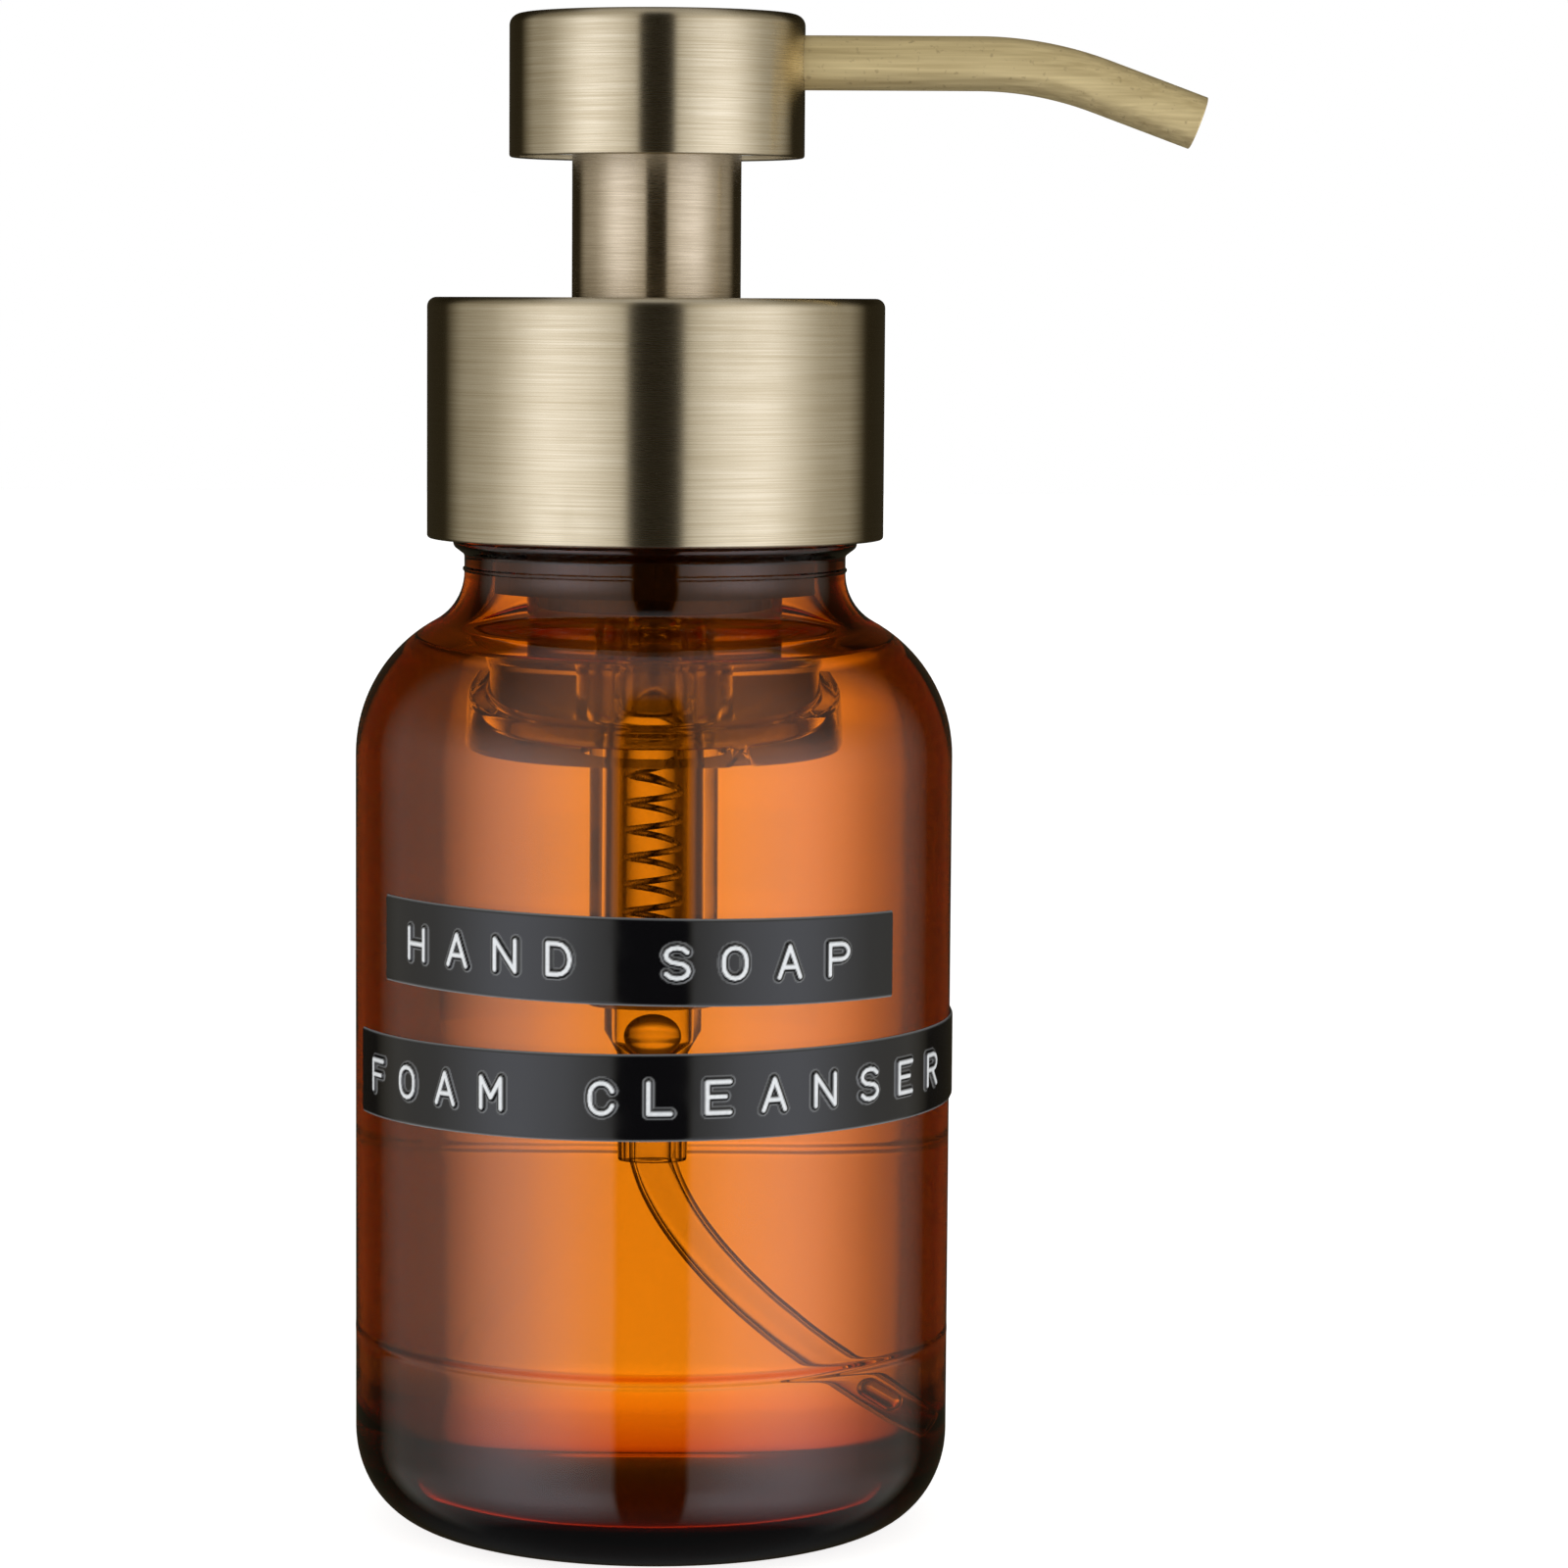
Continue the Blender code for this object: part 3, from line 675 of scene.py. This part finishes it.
def label(name, node, words, first_deg, start_deg, end_deg, middle_z, rise):
    """A closed strip of tape round the bottle, raised where it is embossed."""
    inner_r = BODY_R + TAPE_INSIDE
    outer_r = BODY_R + TAPE_OUTSIDE
    columns = round(math.radians(end_deg - start_deg) * BODY_R / TAPE_GRID)
    rows = round(TAPE_WIDTH / TAPE_GRID)
    angles = np.radians(np.linspace(start_deg, end_deg, columns + 1))
    ups = np.linspace(-TAPE_WIDTH / 2, TAPE_WIDTH / 2, rows + 1)
    angle, up = np.meshgrid(angles, ups, indexing="ij")
    nearest = distance_to(text_segments(words, first_deg), angle * BODY_R, up)
    to_edge = TAPE_WIDTH / 2 - np.abs(up)
    ink = 1 - smooth_step(nearest, *INK_SPAN)
    halo = HALO_INK * (1 - smooth_step(np.abs(nearest - HALO_MIDDLE), *HALO_SPAN))
    # rim is a painted highlight along the tape's edges.
    rim = EDGE_HIGHLIGHT * (1 - smooth_step(to_edge, *EDGE_HIGHLIGHT_SPAN))
    raised = EMBOSS_HEIGHT * (1 - smooth_step(nearest, *EMBOSS_SPAN))
    edge = np.minimum(to_edge, TAPE_EDGE_WIDTH) / TAPE_EDGE_WIDTH
    radius = inner_r + (outer_r - inner_r) * (1 - TAPE_EDGE_TAPER + TAPE_EDGE_TAPER * edge) + raised
    tilt = rise * ((angle - angles[0]) / (angles[-1] - angles[0]) - 0.5)
    height = middle_z + up + tilt
    turn = angle + math.radians(FRONT_DEG)

    def skin(reach):
        return np.stack([reach * np.cos(turn), reach * np.sin(turn), height], -1).reshape(-1, 3)

    points = np.concatenate([skin(radius), skin(np.full_like(radius, inner_r))])
    line = rows + 1
    back = line * (columns + 1)
    faces = []
    for i in range(columns):
        for k in range(rows):
            a = i * line + k
            faces.append((a, a + line, a + line + 1, a + 1))
            faces.append((back + a, back + a + 1, back + a + line + 1, back + a + line))
        for k in (0, rows):
            a = i * line + k
            quad = (a, back + a, back + a + line, a + line)
            faces.append(quad if k == 0 else quad[::-1])
    for k in range(rows):
        for i in (0, columns):
            a = i * line + k
            quad = (a, a + 1, back + a + 1, back + a)
            faces.append(quad if i == 0 else quad[::-1])
    mesh = bpy.data.meshes.new(name)
    mesh.from_pydata((points * MM).tolist(), [], faces)
    layer = mesh.attributes.new("ink", "FLOAT", "POINT")
    # The ink attribute holds the white letters, the pale line round them and the painted edge highlight.
    shown = np.maximum(np.maximum(ink, halo), rim).reshape(-1)
    layer.data.foreach_set("value", np.concatenate([shown, np.zeros(back)]).astype(np.float32))
    place(smooth_object(name, mesh, 60), TAPE, "bottle", "label_tape", node)


# ---------------------------------------------------------------- brass closure, stem, head and spout

def closure():
    bottom, top, radius = size_of("closure_shell")
    inside, plate, hole = radius - SHEET, top - CLOSURE_PLATE, CLOSURE_HOLE_R
    profile = [(hole, top)] + arc((radius - CLOSURE_EDGE_R, top - CLOSURE_EDGE_R), CLOSURE_EDGE_R, 90, 0, 8)
    profile += arc((radius - CLOSURE_LIP_R, bottom + CLOSURE_LIP_R), CLOSURE_LIP_R, 0, -90, 4)
    profile += [(inside, bottom + LIP_INSET), (inside, plate - 0.8), (inside - 0.8, plate), (hole, plate)]
    place(turned("closure_brass", profile, 192), BRASS, "closure", "brushed_brass", "closure_shell")


def stem():
    bottom, top, radius = size_of("stem_sleeve")
    inside = radius - STEM_WALL
    profile = softened([(radius, top), (radius, bottom), (inside, bottom), (inside, top)], 0.2)
    place(turned("stem_brass_sleeve", profile, 128), STEM_BRASS, "head", "brushed_brass", "stem_sleeve")


def head():
    bottom, top, radius = size_of("head_shell")
    inside, ceiling = radius - SHEET, top - SHEET
    profile = [(0.0, top), (radius - HEAD_FLAT_INSET, top)]
    profile += arc((radius - HEAD_EDGE_R, top - HEAD_EDGE_R), HEAD_EDGE_R, 90, 0, 10)
    profile += arc((radius - HEAD_LIP_R, bottom + HEAD_LIP_R), HEAD_LIP_R, 0, -90, 4)
    profile += [(inside, bottom + LIP_INSET), (inside, ceiling - 0.6)]
    profile += [(inside - 0.6, ceiling), (0.0, ceiling)]
    shell = turned("head_brass", profile, 192, ring=False)
    through_wall = [(radius - 5, 0, SPOUT_Z), (radius + 3, 0, SPOUT_Z)]
    bore = swept("spout_bore", through_wall, SPOUT_R + SPOUT_HOLE_GAP, 48)
    cut_with(shell, bore)
    place(shell, BRASS, "head", "brushed_brass", "head_shell")


def spout_path(start_x, end_trim=0.0, bend_steps=24):
    """Centre line of the spout: straight out, one gentle bend, then straight to the tip."""
    bend = math.radians(SPOUT_BEND_DEG)
    points = [(start_x, 0.0, SPOUT_Z), (SPOUT_BEND_X * 0.7, 0.0, SPOUT_Z)]
    for i in range(bend_steps + 1):
        angle = bend * i / bend_steps
        points.append((SPOUT_BEND_X + SPOUT_BEND_R * math.sin(angle), 0.0,
                       SPOUT_Z - SPOUT_BEND_R * (1 - math.cos(angle))))
    last_x, _, last_z = points[-1]
    run = SPOUT_TIP_X - end_trim - last_x
    points.append((last_x + run, 0.0, last_z - run * math.tan(bend)))
    return points


def spout():
    tube = swept("spout_tube", spout_path(SPOUT_START_X), SPOUT_R, 48, SPOUT_R - SHEET)
    edge = tube.modifiers.new("edge", "BEVEL")
    edge.width = SPOUT_EDGE * MM
    edge.segments = 2
    edge.limit_method = "ANGLE"
    edge.angle_limit = math.radians(50)
    place(tube, SPOUT_BRASS, "head", "spout_brass", "nozzle_tube")
    liner_r = SPOUT_R - LINER_INSET
    liner = swept("spout_liner", spout_path(LINER_START_X, LINER_TRIM), liner_r, 32, liner_r - LINER_WALL)
    place(liner, WHITE, "head", "white_plastic", "nozzle_liner")


# ---------------------------------------------------------------- pump inside the bottle

def ball_of(node):
    """Height of a ball's middle and its radius, in millimetres."""
    low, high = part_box(node)
    return (low.z + high.z) / 2 / MM, (high.z - low.z) / 2 / MM


def wet_where(obj, is_wet, look=WET):
    """Gives some faces the look they have against soap or mist, chosen by their radius and height."""
    obj.data.materials.append(look)
    for face in obj.data.polygons:
        middle = face.center / MM
        if is_wet(math.hypot(middle.x, middle.y), middle.z):
            face.material_index = len(obj.data.materials) - 1


def pump_cylinder():
    low, flange_top, flange_r = size_of("pump_cylinder")
    flange, step = flange_top - FLANGE, CYLINDER_BOTTOM + CYLINDER_FLOOR
    rim_top, air_bore = CYLINDER_BOTTOM + RIM_HEIGHT, AIR_R - AIR_WALL
    socket_top, socket_r = low + SOCKET_HEIGHT, LIQUID_R + SOCKET_RISE
    profile = [(flange_r, flange_top), (flange_r, flange), (AIR_R, flange)]
    profile += [(AIR_R, rim_top), (RIM_R, rim_top), (RIM_R, CYLINDER_BOTTOM), (LIQUID_R, CYLINDER_BOTTOM)]
    profile += [(LIQUID_R, socket_top), (socket_r, socket_top), (socket_r, low), (LIQUID_BORE, low)]
    profile += [(LIQUID_BORE, LIQUID_TOP), (LIQUID_R, LIQUID_TOP), (LIQUID_R, step)]
    profile += [(air_bore, step), (air_bore, flange_top)]
    body = turned("pump_cylinder_clear", softened(profile, 0.35), 128)
    cut_rim_notch(body)
    place(body, DRY, "pump_body", "clear_plastic", "pump_cylinder")

    def in_air_space(radius, height):
        return height > step - 0.1 and LIQUID_R - 0.1 < radius < AIR_R - 0.9

    wet_where(body, lambda radius, height: LIQUID_BORE + 0.1 < radius and height < LIQUID_Z)
    wet_where(body, in_air_space, MISTY)


def cut_rim_notch(body):
    """A V-shaped notch in the bottom of the rim, towards the front right."""
    away = math.radians(NOTCH_DEG + FRONT_DEG)
    ends = [(r * math.cos(away), r * math.sin(away), CYLINDER_BOTTOM) for r in (AIR_R + 0.3, RIM_R + 1.0)]
    notch = swept("rim_notch", ends, NOTCH_SIZE, 4)
    cut_with(body, notch)


def liquid_piston():
    low, high, radius = size_of("liquid_piston")
    waist = radius - PISTON_WALL
    profile = [(waist, high), (waist, low + SKIRT_HIGH), (radius, low + SKIRT_LOW), (radius, low)]
    profile += [(PISTON_BORE, low), (PISTON_BORE, high)]
    piston = turned("liquid_piston_clear", softened(profile, 0.2), 96)
    place(piston, DRY, "plunger", "clear_plastic", "liquid_piston")


def valve_housing():
    low, high, radius = size_of("valve_housing")
    ball_z, ball_r = ball_of("inlet_ball")
    apex = ball_z - (ball_r + VALVE_SEAT_GAP) * math.sqrt(2)
    port, chamber, outer, flange = VALVE_PORT_R, VALVE_CHAMBER_R, VALVE_OUTER_R, high - VALVE_FLANGE
    foot, bore = VALVE_FOOT_R, VALVE_FOOT_BORE
    profile = [(radius, high), (LIQUID_R, flange), (outer, flange), (outer, ball_z + 0.6)]
    profile += [(2.9, ball_z - 1.8), (foot, low), (bore, low), (bore, apex - 0.3), (port, apex + 0.4)]
    profile += [(port, apex + port), (chamber, apex + chamber), (chamber, high)]
    housing = turned("valve_housing_clear", softened(profile, 0.25), 96)
    place(housing, WET, "pump_body", "clear_plastic", "valve_housing")


def valve_ball():
    middle, radius = ball_of("inlet_ball")
    profile = arc((0.0, middle), radius, 90, -90, 24)
    profile[0], profile[-1] = (0.0, middle + radius), (0.0, middle - radius)
    ball = turned("inlet_ball_glass", profile, 48, ring=False)
    place(ball, GLASS_BALL, "inlet_valve", "valve_glass", "inlet_ball")


def dip_bend():
    """Points down the bend of the dip tube, in the (sideways, height) plane."""
    points = []
    for i in range(DIP_STEPS + 1):
        t = i / DIP_STEPS
        weights = ((1 - t) ** 3, 3 * t * (1 - t) ** 2, 3 * t * t * (1 - t), t ** 3)
        points.append(tuple(sum(w * c[k] for w, c in zip(weights, DIP_BEND)) for k in (0, 1)))
    return points


def dip_tube():
    _, high, _ = size_of("dip_tube")
    path = [(0.0, high), (0.0, DIP_STRAIGHT_Z)] + dip_bend()
    tube = swept("dip_tube_clear", [(x, 0.0, z) for x, z in path], DIP_R, 32, DIP_BORE)
    place(tube, WET, "pump_body", "clear_plastic", "dip_tube")


def air_bubble():
    """A long bubble caught in the dip tube. Its skin faces inwards, so light meets it from the soap."""
    radius, half = BUBBLE_R, BUBBLE_HALF
    profile = arc((0.0, half), radius, 90, 0, 10) + arc((0.0, -half), radius, 0, -90, 10)
    profile[0], profile[-1] = (0.0, half + radius), (0.0, -half - radius)
    bubble = turned("dip_tube_bubble", profile, 32, ring=False)
    bubble.data.flip_normals()
    nearby = dip_bend()[BUBBLE_STEP - 1:BUBBLE_STEP + 2]
    before, here, after = (Vector((x, 0.0, z)) * MM for x, z in nearby)
    lean = (before - after).to_track_quat("Z", "Y").to_matrix().to_4x4()
    bubble.data.transform(Matrix.Translation(here) @ lean)
    place(bubble, SOAP_SKIN, "pump_body", "clear_plastic")


def return_spring():
    """A coil of wire from the bottom to the top of the CAD spring; it is attached to no body."""
    low, high, _ = size_of("return_spring")
    rise = high - low - 2 * WIRE_R
    steps = COIL_TURNS * COIL_STEPS
    path = []
    for i in range(int(steps) + 1):
        angle = 2 * math.pi * i / COIL_STEPS
        path.append((COIL_R * math.cos(angle), COIL_R * math.sin(angle), low + WIRE_R + rise * i / steps))
    spring = swept("return_spring_wire", path, WIRE_R, 12)
    spring.data.materials.append(STEEL)
    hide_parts("return_spring")
    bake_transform(spring)


def dress_hidden_nodes():
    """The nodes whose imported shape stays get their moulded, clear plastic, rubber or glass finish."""
    finishes = {
        WHITE: ("guide_collar", "spring_seat", "foam_chamber", "head_core"),
        DRY: ("piston_rod", "mesh_lower", "mesh_upper"),
        RUBBER: ("neck_gasket", "air_valve"),
        BLACK: ("closure_cap", "air_piston"),
        GLASS_BALL: ("outlet_ball",),
    }
    for material, names in finishes.items():
        for name in names:
            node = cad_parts[name]
            node.data.materials.clear()
            node.data.materials.append(material)


# ---------------------------------------------------------------- studio

# A colour ramp holds no more than 1, so strengths are stored as a share of this one.
RAMP_FULL = 2.4

# Light strength against degrees away from the camera's side, the same to the left and the right:
# level with the bottle, and below it. The lights above are like the ones below, only dimmer.
SIDES_LEVEL = (
    (0, 0.02), (13, 0.02), (15.5, 0.75), (20, 0.90), (26, 1.10), (33, 1.38), (42, 1.56), (50, 1.70),
    (57, 1.68), (64, 1.54), (72, 1.24), (80, 0.96), (90, 0.66), (102, 0.52), (114, 0.44), (124, 0.20),
    (131, 0.03))
SIDES_LOW = (
    (0, 0.02), (13, 0.02), (15.5, 1.05), (20, 1.25), (26, 1.45), (33, 1.55), (42, 1.62), (54, 1.62),
    (64, 1.50), (72, 1.25), (80, 1.04), (90, 0.80), (104, 0.62), (118, 0.52), (126, 0.20), (132, 0.03))
SIDES_HIGH_SHARE = 0.42
LOW_TO_LEVEL = (-0.36, -0.26)  # the sine of the height at which one table takes over from the other
LEVEL_TO_HIGH = (0.10, 0.40)

# The panel: strength against degrees from straight behind the bottle, from left to right, and a
# factor against the sine of the height.
PANEL_REACH = 60.0
PANEL = (
    (-50, 0.0), (-38, 0.02), (-32.5, 0.08), (-30.5, 0.36), (-24.6, 0.71), (-20.2, 1.04), (-16.7, 1.27),
    (-11, 1.50), (-6.6, 1.64), (2, 1.70), (7.2, 1.36), (9.4, 1.18), (11.7, 0.90), (14.4, 0.72),
    (17.5, 0.52), (19.5, 0.35), (21.5, 0.20), (22.8, 0.03), (38, 0.01), (50, 0.0))
FADE_REACH = 0.5
FADE = (
    (-0.45, 0.10), (-0.36, 0.38), (-0.27, 1.25), (-0.225, 1.20), (-0.205, 1.02), (-0.17, 0.98),
    (-0.11, 1.08), (-0.085, 1.15), (-0.05, 0.85), (-0.02, 0.30), (0.05, 0.15), (0.5, 0.15))

WARMTH = (1.0, 1.05, 1.2)  # a power for each of red, green and blue, so the dimmer light is warmer
OVERHEAD, OVERHEAD_SPAN = (0.55, 0.55, 0.55), (0.80, 0.92)
UNDERNEATH, UNDERNEATH_SPAN = (0.08, 0.08, 0.08), (-0.82, -0.50)

FLOOR_HALF = 3.0  # metres
FLOOR_DROP = 0.0002  # metres below the bottle, so that the two do not coincide
FLOOR_GLOW = 0.85

CAMERA_LENS = 118.5
CAMERA_SHIFT = 0.083  # the photograph frames the bottle left of its middle, to leave room for the spout
CAMERA_PLACE = (0.0, -0.5525, 0.1313)  # metres
CAMERA_PITCH_DEG = 5.34
CAMERA_ROLL_DEG = 0.28


def light_ramp(tree, position, stops, low, high):
    """Light strength against an angle or a height that runs from low to high."""
    ramp = tree.nodes.new("ShaderNodeValToRGB")
    tree.links.new(position, ramp.inputs[0])
    points = ramp.color_ramp.elements
    while len(points) < len(stops):
        points.new(0.5)
    for point, (spot, strength) in zip(points, stops):
        point.position = (spot - low) / (high - low)
        point.color = (*[strength / RAMP_FULL] * 3, 1.0)
    return math_node(tree, "MULTIPLY", ramp.outputs["Color"], RAMP_FULL)


def side_lights(tree, azimuth, z):
    """Two tall softboxes, one at each side, that reach further round below and above the bottle."""
    swing = math_node(tree, "DIVIDE", math_node(tree, "ABSOLUTE", azimuth), math.pi)
    level = light_ramp(tree, swing, SIDES_LEVEL, 0, 180)
    low = light_ramp(tree, swing, SIDES_LOW, 0, 180)
    high = math_node(tree, "MULTIPLY", low, SIDES_HIGH_SHARE)
    sides = mix_colours(tree, range_node(tree, z, *LOW_TO_LEVEL, 0.0, 1.0), low, level)
    return mix_colours(tree, range_node(tree, z, *LEVEL_TO_HIGH, 0.0, 1.0), sides, high)


def back_panel(tree, x, y, z, passing_through):
    """A bright panel behind the bottle. Nothing mirrors it: it only shines through the glass."""
    reach = math.radians(PANEL_REACH)
    behind = range_node(tree, math_node(tree, "ARCTAN2", x, y), -reach, reach, 0.0, 1.0)
    panel = light_ramp(tree, behind, PANEL, -PANEL_REACH, PANEL_REACH)
    height = range_node(tree, z, -FADE_REACH, FADE_REACH, 0.0, 1.0)
    fade = light_ramp(tree, height, FADE, -FADE_REACH, FADE_REACH)
    return math_node(tree, "MULTIPLY", math_node(tree, "MULTIPLY", panel, fade), passing_through)


def build_world():
    """A studio of two softboxes at the sides and a panel behind, with dark gaps between them."""
    world = bpy.data.worlds.new("studio")
    bpy.context.scene.world = world
    world.use_nodes = True
    tree = world.node_tree
    background = tree.nodes["Background"]
    direction = tree.nodes.new("ShaderNodeTexCoord").outputs["Generated"]
    parts = tree.nodes.new("ShaderNodeSeparateXYZ")
    tree.links.new(direction, parts.inputs[0])
    x, y, z = parts.outputs
    rays = tree.nodes.new("ShaderNodeLightPath").outputs
    azimuth = math_node(tree, "ARCTAN2", x, math_node(tree, "MULTIPLY", y, -1.0))
    sides = side_lights(tree, azimuth, z)
    warm = tree.nodes.new("ShaderNodeCombineColor")
    for channel, power in enumerate(WARMTH):
        tree.links.new(math_node(tree, "POWER", sides, power), warm.inputs[channel])
    joined = tree.nodes.new("ShaderNodeVectorMath")
    tree.links.new(warm.outputs[0], joined.inputs[0])
    tree.links.new(back_panel(tree, x, y, z, rays["Is Transmission Ray"]), joined.inputs[1])
    around = mix_colours(tree, range_node(tree, z, *OVERHEAD_SPAN, 0.0, 1.0), joined.outputs[0], OVERHEAD)
    around = mix_colours(tree, range_node(tree, z, *UNDERNEATH_SPAN, 0.0, 1.0), UNDERNEATH, around)
    seen = mix_colours(tree, rays["Is Camera Ray"], around, (1.0, 1.0, 1.0))
    tree.links.new(seen, background.inputs["Color"])
    background.inputs["Strength"].default_value = 1.0


def build_floor():
    mesh = bpy.data.meshes.new("floor")
    shape = bmesh.new()
    bmesh.ops.create_grid(shape, x_segments=1, y_segments=1, size=FLOOR_HALF)
    shape.to_mesh(mesh)
    shape.free()
    floor = add_to_scene("floor", mesh)
    floor.location.z = cad_low.z - FLOOR_DROP
    material, _, shader = new_material("pale_floor", (0.92, 0.92, 0.92), 0.6)
    shader.inputs["Emission Color"].default_value = (1.0, 1.0, 1.0, 1.0)
    shader.inputs["Emission Strength"].default_value = FLOOR_GLOW
    mesh.materials.append(material)
    floor.visible_glossy = False
    floor.visible_transmission = False


def build_camera():
    data = bpy.data.cameras.new("camera")
    data.lens = CAMERA_LENS
    data.sensor_width = 36.0
    data.shift_x = CAMERA_SHIFT
    data.clip_start = 0.01
    camera = add_to_scene("camera", data)
    pitch, roll = math.radians(CAMERA_PITCH_DEG), math.radians(CAMERA_ROLL_DEG)
    aim = Matrix.Rotation(math.pi / 2 - pitch, 4, "X") @ Matrix.Rotation(roll, 4, "Z")
    camera.matrix_world = Matrix.Translation(CAMERA_PLACE) @ aim
    bpy.context.scene.camera = camera


def set_light_paths():
    scene = bpy.context.scene
    scene.view_settings.view_transform = "Standard"
    scene.cycles.max_bounces = 24
    scene.cycles.transmission_bounces = 24
    scene.cycles.glossy_bounces = 8
    scene.cycles.transparent_max_bounces = 16


bottle()
soap()
label("tape_upper", "label_upper", ("HAND", "SOAP"), first_deg=-49.0,
      start_deg=-59.7, end_deg=50.3, middle_z=64.5, rise=-0.96)
label("tape_lower", "label_lower", ("FOAM", "CLEANSER"), first_deg=-62.5,
      start_deg=-72.0, end_deg=95.0, middle_z=50.6, rise=0.98)
closure()
stem()
head()
spout()
pump_cylinder()
valve_housing()
valve_ball()
liquid_piston()
dip_tube()
air_bubble()
return_spring()
dress_hidden_nodes()
build_world()
build_floor()
build_camera()
set_light_paths()
